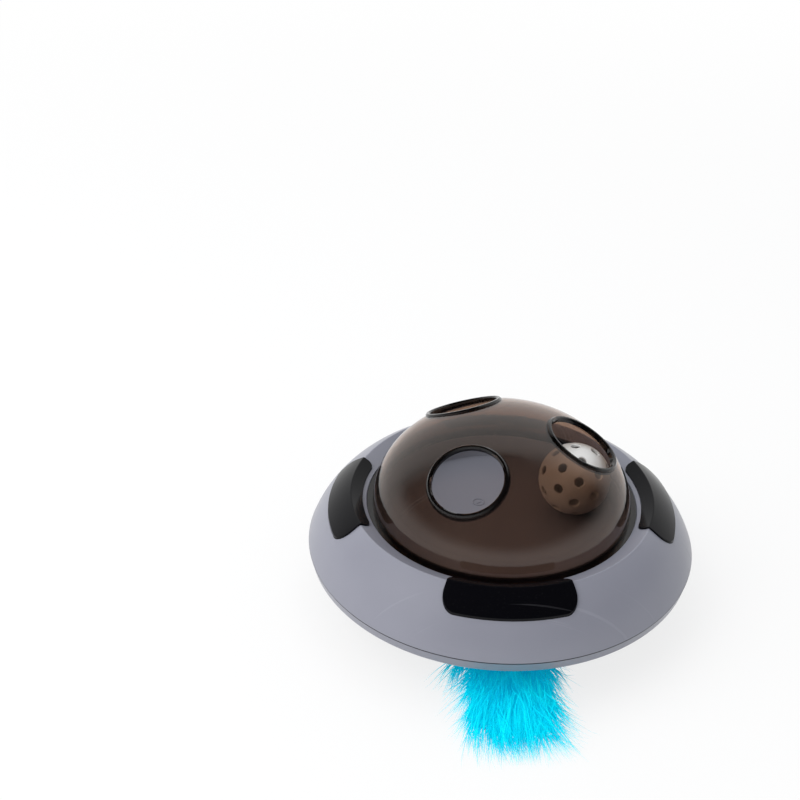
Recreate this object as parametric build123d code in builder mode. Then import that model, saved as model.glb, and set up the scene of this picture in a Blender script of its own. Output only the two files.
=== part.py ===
from build123d import *
import os
from math import cos, degrees, hypot, pi, radians, sin, sqrt, tan

# Electric cat turntable toy: a flying-saucer shell with a smoked dome over a ball tray, standing on
# a battery base, with a feather that a geared ring sweeps round between the base and the saucer.
# Millimetres, +Z up, front at -Y. Each piece is drawn round the saucer's axis, and then stands in the
# toy's own frame, whose origin is on the floor under the middle of the whole toy, feather and all.

# Gaps between pieces, and one overrun for every cut
running_gap = 0.3
ring_top_gap = 0.5
lay_gap = 0.3
slide_gap = 0.4
shaft_gap = 0.05
screw_gap = 0.05
quill_gap = 0.1
overrun = 2.0

# Saucer, upper half
saucer_radius = 125.0
crease_inset = 27.9
crease_rise = 33.5
bulge_share = 0.0848
crease_round = 1.0
well_inset = 9.9
well_drop = 5.1
shell_wall = 2.4
ledge_thickness = 2.2
boss_inset = 19.0
boss_radius = 3.6
shell_boss_count = 6

# Saucer, lower half
belly_drop = 10.0
belly_wall = 2.2
belly_inset = 8.0
lip_inset = 1.5
lip_drop = 6.4
lip_wall = 3.2
rim_setback = 0.3
seam_groove_height = 0.5
seam_groove_depth = 1.1
tongue_height = 2.0
tongue_wall = 1.8

# Play tray
tray_mouth_inset = 6.2
tray_draft = 3.0
tray_rim_drop = 3.3
tray_depth = 14.1
tray_corner_round = 3.0
tray_wall = 2.2
tray_boss_inset = 18.0
tray_boss_count = 4
mark_radius = 4.0
mark_line = 0.6
mark_rise = 0.35
mark_x = -13.3
mark_y = 20.2

# Trim pads over the crease
pad_count = 4
pad_names = ["right", "back", "left", "front"]
pad_half_angle = 22.3
pad_inner_run = 7.4
pad_outer_run = 14.9
pad_gap = 0.1
pad_rise = 1.2
pad_sink = 0.8
pad_outer_corner = 9.0
pad_inner_corner = 5.0

# Dome
dome_inset = 4.0
dome_rise = 58.5
dome_wall = 2.2
flange_inset = 0.4
flange_thickness = 2.4
paw_hole_count = 3
paw_hole_place_share = 0.607
paw_hole_radius = 22.5
paw_lip_width = 3.0
paw_lip_rise = 2.3
paw_lip_depth = 5.2
lip_bevel_share = 0.3

# Ball: rings of holes above the weld line, mirrored below it
ball_radius = 23.5
ball_wall = 1.6
ball_hole_radius = 3.0
ball_azimuth = 17.0
ball_run_gap = 3.8
ball_tilt = 62.0
ball_turn = 20.0
ball_rings = [(90.0, 1), (54.0, 6), (18.0, 10)]

# Base tub and its feet
foot_standing = 1.2
foot_radius = 6.0
foot_recess = 1.0
foot_inset = 10.0
foot_angle = 37.0
foot_bevel = 0.5
tub_margin = 7.0
tub_draft = 2.0
tub_height = 20.8
tub_wall = 2.2
tub_floor = 2.2
tub_edge_round = 1.5
base_boss_inset = 7.0
base_boss_radius = 3.6
base_boss_height = 14.8
base_boss_angle = 20.0
base_screw_recess = 6.8

# Base deck and its column
deck_thickness = 2.2
rail_inset = 10.0
rail_width = 2.0
rail_height = 1.0
column_radius = 25.0
column_wall = 2.0
column_boss_radius = 3.4
column_boss_outset = 3.0
column_boss_count = 3
pin_boss_radius = 3.0
pin_boss_height = 1.2

# Screws
screw_head_radius = 2.75
screw_head_height = 1.2
screw_shank_radius = 1.3
screw_length = 12.0
motor_screw_head_radius = 1.8
motor_screw_head_height = 1.2
motor_screw_shank_radius = 1.0
motor_screw_length = 4.5
motor_screw_offset = 7.0

# Gears: the feather ring's inner teeth, the double gear, and the motor's pinion
ring_teeth = 90
ring_pinion_teeth = 12
ring_module = 0.8
wheel_teeth = 50
motor_pinion_teeth = 12
wheel_module = 0.6
tooth_top_share = 0.8
tooth_foot_share = 1.05
tooth_flank_share = tan(radians(20))
backlash = 0.22
ring_rim_width = 3.2
ring_rim_height = 4.0
ring_web = 2.2
ring_skirt_wall = 2.2
ring_skirt_drop = 11.5
ring_skirt_gap = 0.7
wheel_height = 2.5
wheel_clearance = 0.8
hub_radius = 3.0
hub_hole_radius = 6.2
motor_pinion_height = 3.5
gear_pin_radius = 1.0
gear_plate_thickness = 1.5
gear_plate_margin = 4.0
gear_lobe_radius = 9.0
gear_cover_clearance = 2.6
gear_cover_thickness = 1.5
gear_cover_post_radius = 2.0
gear_cover_side_post = 19.5
gear_cover_back_post = 2.0
gear_cover_lobe_radius = 4.0

# Motor
motor_radius = 10.2
motor_half_flat = 7.7
motor_length = 25.0
motor_boss_radius = 3.0
motor_shaft_radius = 1.0
motor_shaft_inside = 5.0
motor_shaft_over = 0.6
motor_seat_radius = 6.0

# Battery bay, cells and contacts
cell_count = 3
cell_radius = 7.25
cell_length = 50.5
cell_nub_radius = 2.75
cell_nub_length = 1.0
cell_pitch = 15.0
bay_front = -1.0
bay_wall = 1.8
bay_height = 15.6
bay_end_room = 2.35
contact_side = 12.0
contact_thickness = 0.5
contact_button_radius = 2.6
contact_spring_radius = 4.2
contact_touch_gap = 0.1
contact_taper_share = 0.7

# Battery door
door_inset = 0.6
door_wall_height = 6.0
door_grip_count = 5
door_grip_length = 20.0
door_grip_width = 1.2
door_grip_depth = 0.5
door_grip_pitch = 2.6
door_grip_margin = 8.0

# Power switch
switch_x = -30.0
switch_y = -14.0
switch_case_length = 14.0
switch_case_width = 7.0
switch_case_height = 6.0
switch_travel = 4.0
switch_recess_length = 16.0
switch_recess_width = 8.0
switch_recess_depth = 1.0
knob_length = 3.6
knob_width = 3.2
knob_inside = 1.6
knob_standing = 0.8
knob_bevel = 0.4

# Circuit board
board_place_share = 0.624
board_length = 30.0
board_width = 20.0
board_thickness = 1.6
board_post_radius = 2.4
board_post_height = 3.8
board_post_inset = 4.0
board_pin_radius = 1.0
board_pin_over = 1.0
chip_length = 9.0
chip_width = 5.0
chip_height = 1.6
capacitor_radius = 2.6
capacitor_height = 6.0

# Feather: its holder on the ring, the quill and the plume
feather_azimuth = -86.9
feather_droop = 12.0
holder_drop = 6.5
holder_radius = 4.4
holder_length = 7.0
plug_radius = 2.6
plug_head_radius = 3.6
plug_head_length = 3.0
plug_inside = 6.0
quill_radius = 1.0
quill_length = 46.0
plume_start_gap = 17.1
plume_reach = 44.5
plume_half_width = 45.0
plume_height = 26.0
plume_underside = 0.8
plume_shares = [
    (0.0, 0.16, 0.42),
    (0.14, 0.55, 0.86),
    (0.34, 0.93, 1.0),
    (0.52, 1.0, 0.94),
    (0.74, 0.74, 0.66),
    (0.92, 0.34, 0.34),
    (1.0, 0.10, 0.16),
]

# The base, whose bay holds the cells and whose deck carries the ring
bay_width = cell_pitch * cell_count + 2 * running_gap
bay_half_length = cell_length / 2 + bay_end_room
door_half_width = bay_half_length - door_inset
tub_top_radius = hypot(bay_half_length + bay_wall, bay_front + bay_width + bay_wall) + tub_margin
tub_bottom_radius = tub_top_radius - tub_draft
tub_underside = foot_standing
tub_floor_top = tub_underside + tub_floor
tub_top = tub_underside + tub_height
deck_top = tub_top + deck_thickness
column_bore_radius = column_radius - column_wall
foot_circle_radius = tub_bottom_radius - foot_inset
base_boss_circle_radius = tub_bottom_radius - base_boss_inset
rail_radius = tub_top_radius - rail_inset
column_boss_circle_radius = column_radius + column_boss_outset
cell_height = tub_floor_top + lay_gap + cell_radius
ring_underside = deck_top + rail_height + running_gap
holder_height = ring_underside - holder_drop

# The saucer, which rests on the column just clear of the ring
belly_height = ring_underside + ring_rim_height + ring_top_gap
seam_height = belly_height + belly_drop
crease_radius = saucer_radius - crease_inset
crease_height = seam_height + crease_rise
well_radius = crease_radius - well_inset
well_height = crease_height - well_drop
boss_circle_radius = saucer_radius - boss_inset
belly_top = belly_height + belly_wall
belly_flat_radius = saucer_radius - belly_inset
lip_radius = saucer_radius - lip_inset
lip_height = seam_height - lip_drop
tray_mouth_radius = well_radius - tray_mouth_inset
tray_floor_radius = tray_mouth_radius - tray_draft
tray_rim_height = well_height - tray_rim_drop
tray_floor_height = tray_rim_height - tray_depth
tray_underside = tray_floor_height - tray_wall
tray_rim_underside = tray_rim_height - tray_wall
tray_boss_circle_radius = tray_floor_radius - tray_boss_inset
ledge_underside = tray_rim_underside - ledge_thickness
pad_inner_radius = crease_radius - pad_inner_run
pad_outer_radius = crease_radius + pad_outer_run
dome_radius = well_radius - dome_inset
flange_radius = well_radius - flange_inset
flange_underside = tray_rim_height + lay_gap
flange_top = flange_underside + flange_thickness
ball_orbit_radius = tray_floor_radius - ball_radius - ball_run_gap

# The gears, and where the saucer's axis stands in the toy's own frame
axis_y = plume_reach / 2
gear_plate_radius = column_boss_circle_radius + gear_plate_margin
gear_plate_top = belly_top + gear_plate_thickness
wheel_underside = gear_plate_top + wheel_clearance
cover_underside = wheel_underside + wheel_height + gear_cover_clearance
cover_top = cover_underside + gear_cover_thickness
ring_pinion_distance = ring_module * (ring_teeth - ring_pinion_teeth) / 2
motor_distance = ring_pinion_distance - wheel_module * (wheel_teeth + motor_pinion_teeth) / 2
gear_place = (0, -ring_pinion_distance)
motor_place = (0, -motor_distance)
motor_underside = belly_top - motor_length
board_place = (-saucer_radius * board_place_share, 0)

# The shell's outer curve is an arc from the seam to the crease, standing off its chord by a share of it
chord_run = saucer_radius - crease_radius
chord = hypot(chord_run, crease_rise)
bulge_depth = chord * bulge_share
arc_radius = (chord**2 / 4 + bulge_depth**2) / (2 * bulge_depth)
arc_x = saucer_radius - chord_run / 2 - (arc_radius - bulge_depth) * crease_rise / chord
arc_z = seam_height + crease_rise / 2 - (arc_radius - bulge_depth) * chord_run / chord
slope_run = crease_radius - well_radius
slope_rise = crease_height - well_height
slope_length = hypot(slope_run, slope_rise)


def bulge_z(radius, lift):
    """Height of the shell's outer curve at a radius, lifted square off the surface."""
    return arc_z + sqrt((arc_radius + lift) ** 2 - (radius - arc_x) ** 2)


def bulge_r(height, lift):
    """Radius of the shell's outer curve at a height, lifted square off the surface."""
    return arc_x + sqrt((arc_radius + lift) ** 2 - (height - arc_z) ** 2)


def slope_z(radius, lift):
    """Height of the slope from the crease down to the well, lifted square off the surface."""
    foot = well_height + (radius - well_radius) * slope_rise / slope_run
    return foot + lift * slope_length / slope_run


def crease_point(lift):
    """Where the lifted outer curve meets the lifted slope."""
    rise = slope_rise / slope_run
    height = slope_z(arc_x, lift) - arc_z
    a = 1 + rise**2
    b = rise * height
    c = height**2 - (arc_radius + lift) ** 2
    across = (-b + sqrt(b**2 - a * c)) / a
    return (arc_x + across, arc_z + height + rise * across)


def bulge_arc(start_radius, end_radius, lift):
    """An arc of the lifted outer curve between two radii."""
    middle = (start_radius + end_radius) / 2
    return ThreePointArc(
        (start_radius, bulge_z(start_radius, lift)),
        (middle, bulge_z(middle, lift)),
        (end_radius, bulge_z(end_radius, lift)),
    )


def polar(radius, angle):
    """A point at a radius and an angle in degrees."""
    return (radius * cos(radians(angle)), radius * sin(radians(angle)))


def four_places(radius, angle):
    """Four places that mirror each other left to right and front to back."""
    return [polar(radius, turn) for turn in (angle, 180 - angle, 180 + angle, -angle)]


def gear_points(teeth, module, first_tooth, inward):
    """The corners of a gear's straight-flanked teeth, at module pitch, pointing out or inward."""
    side = -1 if inward else 1
    pitch = module * teeth / 2
    tip = pitch + side * tooth_top_share * module
    foot = pitch - side * tooth_foot_share * module
    half = pi * module / 4 - backlash / 2
    half_tip = degrees((half - tooth_flank_share * tooth_top_share * module) / tip)
    half_foot = degrees((half + tooth_flank_share * tooth_foot_share * module) / foot)
    corners = []
    for tooth in range(teeth):
        angle = first_tooth + 360 * tooth / teeth
        corners.append(polar(foot, angle - half_foot))
        corners.append(polar(tip, angle - half_tip))
        corners.append(polar(tip, angle + half_tip))
        corners.append(polar(foot, angle + half_foot))
    return corners


parts = {}


def keep(name, builder):
    """Stand a finished piece in the toy's own frame, labelled for its STEP file."""
    piece = builder.part.moved(Location((0, axis_y, 0)))
    piece.label = name
    parts[name] = piece


# Trim pads: a band turned over the whole crease, cut to four rounded plan outlines
def pad_ring(sink, grow):
    """All the pads in one, or with some growth the recesses that take them."""
    inner = pad_inner_radius - grow
    outer = pad_outer_radius + grow
    half_angle = pad_half_angle + degrees(grow / crease_radius)
    top = crease_point(pad_rise)
    seat = crease_point(-sink)
    with BuildSketch() as pad_outline:
        with BuildLine():
            CenterArc((0, 0), outer, -half_angle, 2 * half_angle)
            CenterArc((0, 0), inner, -half_angle, 2 * half_angle)
            Line(polar(inner, half_angle), polar(outer, half_angle))
            Line(polar(inner, -half_angle), polar(outer, -half_angle))
        make_face()
        fillet(pad_outline.vertices().sort_by_distance((0, 0))[-2:], pad_outer_corner)
        fillet(pad_outline.vertices().sort_by_distance((0, 0))[:2], pad_inner_corner)
    with BuildPart() as pad_band:
        with BuildSketch(Plane.XZ) as pad_profile:
            with BuildLine():
                Line((inner, slope_z(inner, pad_rise)), top)
                bulge_arc(top[0], outer, pad_rise)
                Line((outer, bulge_z(outer, pad_rise)), (outer, bulge_z(outer, -sink)))
                bulge_arc(outer, seat[0], -sink)
                Line(seat, (inner, slope_z(inner, -sink)))
                Line((inner, slope_z(inner, -sink)), (inner, slope_z(inner, pad_rise)))
            make_face()
            fillet(pad_profile.vertices().sort_by(Axis.Y)[-1], crease_round)
        revolve(axis=Axis.Z)
        with BuildSketch(Plane.XY.offset(well_height)):
            for place in range(pad_count):
                add(pad_outline.sketch.rotate(Axis.Z, 360 * place / pad_count))
        extrude(amount=crease_height, both=True, mode=Mode.INTERSECT)
    return pad_band.part


pads = pad_ring(pad_sink, 0)
pad_recesses = pad_ring(pad_sink + pad_gap, pad_gap)
for place in range(pad_count):
    pad_middle = (*polar(crease_radius, 360 * place / pad_count), crease_height)
    with BuildPart() as trim_pad:
        add(pads.solids().sort_by_distance(pad_middle)[0])
    keep("trim_pad_" + pad_names[place], trim_pad)

# Upper shell: a revolved skin with its well and ledge, its screw posts left standing in the hollow
tray_outer_mouth = tray_mouth_radius + tray_wall
ledge_inner_radius = tray_outer_mouth + slide_gap
well_outer_radius = well_radius + shell_wall
hollow_tip = crease_point(-shell_wall)
hollow_foot = seam_height - overrun
hollow_inner_radius = ledge_inner_radius - overrun
shell_post_angle = 180 / shell_boss_count
with BuildPart() as shell_hollow:
    with BuildSketch(Plane.XZ):
        with BuildLine():
            Line((hollow_inner_radius, hollow_foot), (bulge_r(hollow_foot, -shell_wall), hollow_foot))
            bulge_arc(bulge_r(hollow_foot, -shell_wall), hollow_tip[0], -shell_wall)
            Polyline(
                hollow_tip,
                (well_outer_radius, slope_z(well_outer_radius, -shell_wall)),
                (well_outer_radius, ledge_underside),
                (hollow_inner_radius, ledge_underside),
                (hollow_inner_radius, hollow_foot),
            )
        make_face()
    revolve(axis=Axis.Z)
    with BuildSketch(Plane.XY.offset(hollow_foot)):
        with PolarLocations(boss_circle_radius, shell_boss_count, start_angle=shell_post_angle):
            Circle(boss_radius)
    extrude(amount=crease_height, mode=Mode.SUBTRACT)

with BuildPart() as upper_shell:
    with BuildSketch(Plane.XZ) as shell_profile:
        with BuildLine():
            bulge_arc(saucer_radius, crease_radius, 0)
            Polyline(
                (crease_radius, crease_height),
                (well_radius, well_height),
                (well_radius, tray_rim_underside),
                (ledge_inner_radius, tray_rim_underside),
                (ledge_inner_radius, seam_height),
                (saucer_radius, seam_height),
            )
        make_face()
        fillet(shell_profile.vertices().sort_by(Axis.Y)[-1], crease_round)
    revolve(axis=Axis.Z)
    add(shell_hollow.part, mode=Mode.SUBTRACT)
    with BuildSketch(Plane.XY.offset(belly_top)):
        with PolarLocations(boss_circle_radius, shell_boss_count, start_angle=shell_post_angle):
            Circle(boss_radius)
    extrude(amount=seam_height - belly_top + overrun)
    with BuildSketch(Plane.XY.offset(belly_top)):
        with PolarLocations(boss_circle_radius, shell_boss_count, start_angle=shell_post_angle):
            Circle(screw_shank_radius + screw_gap)
    extrude(amount=screw_length, mode=Mode.SUBTRACT)
    add(pad_recesses, mode=Mode.SUBTRACT)
keep("upper_shell", upper_shell)

# Play tray: a flat-floored bowl with a seat for the dome, posts below and a moulded mark in the floor
with BuildPart() as play_tray:
    with BuildSketch(Plane.XZ) as tray_profile:
        with BuildLine():
            Polyline(
                (0, tray_underside),
                (tray_floor_radius + tray_wall, tray_underside),
                (tray_outer_mouth, tray_rim_underside),
                (well_radius - running_gap, tray_rim_underside),
                (well_radius - running_gap, tray_rim_height),
                (tray_mouth_radius, tray_rim_height),
                (tray_floor_radius, tray_floor_height),
                (0, tray_floor_height),
                (0, tray_underside),
            )
        make_face()
        tray_corner = (tray_floor_radius, tray_floor_height)
        fillet(tray_profile.vertices().sort_by_distance(tray_corner)[0], tray_corner_round)
    revolve(axis=Axis.Z)
    with BuildSketch(Plane.XY.offset(belly_top)):
        with PolarLocations(tray_boss_circle_radius, tray_boss_count, start_angle=180 / tray_boss_count):
            Circle(boss_radius)
    extrude(amount=tray_underside - belly_top)
    with BuildSketch(Plane.XY.offset(belly_top)):
        with PolarLocations(tray_boss_circle_radius, tray_boss_count, start_angle=180 / tray_boss_count):
            Circle(screw_shank_radius + screw_gap)
    extrude(amount=screw_length, mode=Mode.SUBTRACT)
    with BuildSketch(Plane.XY.offset(tray_floor_height)):
        with Locations((mark_x, mark_y)):
            Circle(mark_radius)
            Circle(mark_radius - mark_line, mode=Mode.SUBTRACT)
            RegularPolygon(mark_radius / 2, 3)
    extrude(amount=mark_rise)
keep("play_tray", play_tray)

# Lower shell: a shallow dish with a tongue inside the seam, open in the middle over the column
seam_radius = saucer_radius - rim_setback
tongue_radius = bulge_r(seam_height + tongue_height, -shell_wall) - running_gap
tongue_inner_radius = tongue_radius - tongue_wall
groove_radius = seam_radius - seam_groove_depth
groove_height = seam_height - seam_groove_height
screw_seat = belly_height + screw_head_height
with BuildPart() as lower_shell:
    with BuildSketch(Plane.XZ):
        with BuildLine():
            Line((column_bore_radius, belly_height), (belly_flat_radius, belly_height))
            TangentArc((belly_flat_radius, belly_height), (lip_radius, lip_height), tangent=(1, 0))
            Polyline(
                (lip_radius, lip_height),
                (seam_radius, groove_height),
                (groove_radius, groove_height),
                (groove_radius, seam_height),
                (tongue_radius, seam_height),
                (tongue_radius, seam_height + tongue_height),
                (tongue_inner_radius, seam_height + tongue_height),
                (tongue_inner_radius, lip_height + lip_wall / 2),
                (belly_flat_radius - lip_wall / 2, belly_top),
                (column_bore_radius, belly_top),
                (column_bore_radius, belly_height),
            )
        make_face()
    revolve(axis=Axis.Z)
    with BuildSketch(Plane.XY.offset(belly_height)):
        with Locations(gear_place):
            Circle(hub_hole_radius)
        with PolarLocations(column_boss_circle_radius, column_boss_count, start_angle=90):
            Circle(screw_shank_radius + screw_gap)
        with PolarLocations(tray_boss_circle_radius, tray_boss_count, start_angle=180 / tray_boss_count):
            Circle(screw_shank_radius + screw_gap)
        with PolarLocations(boss_circle_radius, shell_boss_count, start_angle=shell_post_angle):
            Circle(screw_shank_radius + screw_gap)
    extrude(amount=belly_wall, mode=Mode.SUBTRACT)
    with BuildSketch(Plane.XY.offset(belly_height)):
        with PolarLocations(tray_boss_circle_radius, tray_boss_count, start_angle=180 / tray_boss_count):
            Circle(screw_head_radius + screw_gap)
        with PolarLocations(boss_circle_radius, shell_boss_count, start_angle=shell_post_angle):
            Circle(screw_head_radius + screw_gap)
    extrude(amount=screw_head_height, mode=Mode.SUBTRACT)
    with BuildSketch(Plane.XY.offset(belly_top)):
        with Locations(board_place):
            with GridLocations(board_length - 2 * board_post_inset, 0, 2, 1):
                Circle(board_post_radius)
    extrude(amount=board_post_height)
    with BuildSketch(Plane.XY.offset(belly_top + board_post_height)):
        with Locations(board_place):
            with GridLocations(board_length - 2 * board_post_inset, 0, 2, 1):
                Circle(board_pin_radius)
    extrude(amount=board_thickness + board_pin_over)
keep("lower_shell", lower_shell)

# Dome: half an ellipse turned about the axis, on a flat flange, with a raised lip round each paw hole
dome_inner_radius = dome_radius - dome_wall
dome_inner_rise = dome_rise - dome_wall
paw_hole_distance = dome_radius * paw_hole_place_share
paw_hole_height = flange_top + dome_rise * sqrt(1 - paw_hole_place_share**2)
paw_steep = Vector(paw_hole_distance / dome_radius**2, 0, (paw_hole_height - flange_top) / dome_rise**2)
paw_lean = radians(90 - paw_steep.get_angle(Vector(1, 0, 0)))
paw_lip_radius = paw_hole_radius + paw_lip_width
paw_sag = paw_lip_radius**2 / (2 * dome_radius)
paw_lip_top = paw_lip_rise - paw_sag
dome_seam = Plane.XZ.rotated((0, 0, 180 / paw_hole_count))
paw_planes = []
for hole in range(paw_hole_count):
    turn = radians(360 * hole / paw_hole_count)
    paw_planes.append(
        Plane(
            origin=(paw_hole_distance * cos(turn), paw_hole_distance * sin(turn), paw_hole_height),
            z_dir=(sin(paw_lean) * cos(turn), sin(paw_lean) * sin(turn), cos(paw_lean)),
        )
    )
with BuildPart() as dome:
    with BuildSketch(dome_seam):
        with BuildLine():
            EllipticalCenterArc((0, flange_top), dome_radius, dome_rise, start_angle=0, arc_size=90)
            Polyline(
                (0, flange_top + dome_rise),
                (0, flange_underside),
                (flange_radius, flange_underside),
                (flange_radius, flange_top),
                (dome_radius, flange_top),
            )
        make_face()
    revolve(axis=Axis.Z)
    for paw_plane in paw_planes:
        with BuildSketch(paw_plane.offset(paw_lip_top)):
            Circle(paw_lip_radius)
        extrude(amount=-paw_lip_depth)
    for paw_plane in paw_planes:
        lip_face = dome.faces().filter_by(GeomType.PLANE).sort_by_distance(paw_plane.origin)[0]
        chamfer(lip_face.edges(), paw_lip_width * lip_bevel_share)
    with BuildSketch(dome_seam):
        with BuildLine():
            EllipticalCenterArc(
                (0, flange_top), dome_inner_radius, dome_inner_rise, start_angle=0, arc_size=90
            )
            Polyline(
                (0, flange_top + dome_inner_rise),
                (0, flange_underside - overrun),
                (dome_inner_radius, flange_underside - overrun),
                (dome_inner_radius, flange_top),
            )
        make_face()
    revolve(axis=Axis.Z, mode=Mode.SUBTRACT)
    for paw_plane in paw_planes:
        with BuildSketch(paw_plane):
            Circle(paw_hole_radius)
        extrude(amount=paw_lip_depth + paw_sag, both=True, mode=Mode.SUBTRACT)
    for paw_plane in paw_planes:
        lip_face = dome.faces().filter_by(GeomType.PLANE).sort_by_distance(paw_plane.origin)[0]
        inner_edge = lip_face.edges().filter_by(GeomType.CIRCLE).sort_by(SortBy.RADIUS)[0]
        chamfer(inner_edge, paw_lip_width * lip_bevel_share)
keep("dome", dome)

# Play ball: a thin round shell with rings of holes each side of its weld line
ball_x = ball_orbit_radius * cos(radians(ball_azimuth))
ball_y = ball_orbit_radius * sin(radians(ball_azimuth))
ball_place = Location((ball_x, ball_y, tray_floor_height + lay_gap + ball_radius))
ball_cut_start = ball_radius - ball_wall - overrun
ball_planes = []
for side in (1, -1):
    for level, holes in ball_rings:
        for hole in range(holes):
            turn = 360 * hole / holes
            way = Vector(
                cos(radians(level)) * cos(radians(turn)),
                cos(radians(level)) * sin(radians(turn)),
                side * sin(radians(level)),
            )
            ball_planes.append(Plane(origin=way * ball_cut_start, z_dir=way))
with BuildPart() as ball_shell:
    Sphere(ball_radius)
    Sphere(ball_radius - ball_wall, mode=Mode.SUBTRACT)
    with BuildSketch(*ball_planes):
        Circle(ball_hole_radius)
    extrude(amount=ball_wall + 2 * overrun, mode=Mode.SUBTRACT)
with BuildPart() as play_ball:
    add(ball_shell.part.rotate(Axis.Z, ball_turn).rotate(Axis.X, ball_tilt).moved(ball_place))
keep("play_ball", play_ball)

# Base tub: a drafted cup that holds the cells, with a way out at the back for the battery door
tub_inner_bottom = tub_bottom_radius - tub_wall
tub_inner_top = tub_top_radius - tub_wall
bay_middle = bay_front + bay_width / 2
door_cut_half_width = door_half_width + slide_gap
door_cut_front = bay_front - slide_gap
door_wall_top = tub_floor_top + door_wall_height
base_boss_places = four_places(base_boss_circle_radius, base_boss_angle)
foot_places = four_places(foot_circle_radius, foot_angle)
with BuildPart() as tub_cup:
    with BuildSketch(Plane.XZ) as tub_profile:
        with BuildLine():
            Polyline(
                (0, tub_underside),
                (tub_bottom_radius, tub_underside),
                (tub_top_radius, tub_top),
                (tub_inner_top, tub_top),
                (tub_inner_bottom, tub_floor_top),
                (0, tub_floor_top),
                (0, tub_underside),
            )
        make_face()
        tub_corner = (tub_bottom_radius, tub_underside)
        fillet(tub_profile.vertices().sort_by_distance(tub_corner)[0], tub_edge_round)
    revolve(axis=Axis.Z)

with BuildPart() as base_tub:
    add(tub_cup.part)
    with BuildSketch(Plane.XY.offset(tub_underside - overrun)):
        with Locations((0, door_cut_front)):
            Rectangle(2 * door_cut_half_width, tub_top_radius + overrun, align=(Align.CENTER, Align.MIN))
    extrude(amount=door_wall_top + slide_gap - tub_underside + overrun, mode=Mode.SUBTRACT)
    with BuildSketch(Plane.XY.offset(tub_floor_top)):
        with Locations((0, bay_middle)):
            Rectangle(2 * (bay_half_length + bay_wall), bay_width + 2 * bay_wall)
            Rectangle(2 * bay_half_length, bay_width, mode=Mode.SUBTRACT)
    extrude(amount=bay_height)
    with BuildSketch(Plane.XY.offset(tub_floor_top)):
        with Locations(*base_boss_places):
            Circle(base_boss_radius)
    extrude(amount=base_boss_height)
    with BuildSketch(Plane.XY.offset(tub_floor_top)):
        with Locations(motor_place):
            Circle(motor_seat_radius)
    extrude(amount=motor_underside - tub_floor_top)
    with BuildSketch(Plane.XY.offset(tub_underside)):
        with Locations(*foot_places):
            Circle(foot_radius)
    extrude(amount=foot_recess, mode=Mode.SUBTRACT)
    with BuildSketch(Plane.XY.offset(tub_underside)):
        with Locations(*base_boss_places):
            Circle(screw_head_radius + screw_gap)
    extrude(amount=base_screw_recess, mode=Mode.SUBTRACT)
    with BuildSketch(Plane.XY.offset(tub_underside)):
        with Locations(*base_boss_places):
            Circle(screw_shank_radius + screw_gap)
    extrude(amount=tub_height, mode=Mode.SUBTRACT)
    with BuildSketch(Plane.XY.offset(tub_underside)):
        with Locations((switch_x, switch_y)):
            Rectangle(switch_recess_length, switch_recess_width)
    extrude(amount=switch_recess_depth, mode=Mode.SUBTRACT)
    with BuildSketch(Plane.XY.offset(tub_underside)):
        with Locations((switch_x, switch_y)):
            Rectangle(knob_length + switch_travel + 2 * slide_gap, knob_width + 2 * slide_gap)
    extrude(amount=tub_floor, mode=Mode.SUBTRACT)
keep("base_tub", base_tub)

# Battery door: the part of the cup under the bay, drawn out backwards by its grip ribs
with BuildPart() as battery_door:
    add(tub_cup.part)
    with BuildSketch(Plane.XY.offset(tub_underside)):
        with Locations((0, bay_front)):
            Rectangle(2 * door_half_width, tub_top_radius, align=(Align.CENTER, Align.MIN))
    extrude(amount=door_wall_top - tub_underside, mode=Mode.INTERSECT)
    with BuildSketch(Plane.XY.offset(tub_underside)):
        with Locations((0, tub_inner_bottom - door_grip_margin)):
            with GridLocations(0, door_grip_pitch, 1, door_grip_count):
                Rectangle(door_grip_length, door_grip_width)
    extrude(amount=door_grip_depth, mode=Mode.SUBTRACT)
keep("battery_door", battery_door)

# Rubber feet in their recesses
with BuildPart() as rubber_feet:
    with BuildSketch():
        with Locations(*foot_places):
            Circle(foot_radius)
    extrude(amount=foot_standing + foot_recess)
    chamfer(rubber_feet.faces().sort_by(Axis.Z)[: len(foot_places)].edges(), foot_bevel)
keep("rubber_feet", rubber_feet)

# Battery cells, laid side by side and facing alternate ways
for cell in range(cell_count):
    way = 1 if cell % 2 == 0 else -1
    cell_y = bay_front + running_gap + cell_pitch * (cell + 1 / 2)
    with BuildPart() as battery_cell:
        with BuildSketch(Plane(origin=(-way * cell_length / 2, cell_y, cell_height), z_dir=(way, 0, 0))):
            Circle(cell_radius)
        extrude(amount=cell_length - cell_nub_length)
        with BuildSketch(Plane(origin=(way * cell_length / 2, cell_y, cell_height), z_dir=(-way, 0, 0))):
            Circle(cell_nub_radius)
        extrude(amount=cell_nub_length)
    keep("battery_cell_" + str(cell + 1), battery_cell)

# Contacts at both ends of the bay: a plate each, with a button for the nub or a cone for the spring
for side_name, side in (("left", -1), ("right", 1)):
    with BuildPart() as contacts:
        for cell in range(cell_count):
            cell_y = bay_front + running_gap + cell_pitch * (cell + 1 / 2)
            meets_nub = (1 if cell % 2 == 0 else -1) == side
            plate_x = side * bay_half_length
            touch_x = side * (cell_length / 2 + contact_touch_gap)
            plate = Plane(origin=(plate_x, cell_y, cell_height), x_dir=(0, 1, 0), z_dir=(-side, 0, 0))
            with BuildSketch(plate):
                RectangleRounded(contact_side, contact_side, contact_thickness)
            extrude(amount=contact_thickness)
            root = contact_button_radius if meets_nub else contact_spring_radius
            with BuildSketch(plate.offset(contact_thickness)):
                Circle(root)
            with BuildSketch(plate.offset(abs(plate_x - touch_x))):
                Circle(root * contact_taper_share)
            loft()
    keep("battery_contacts_" + side_name, contacts)

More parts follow.
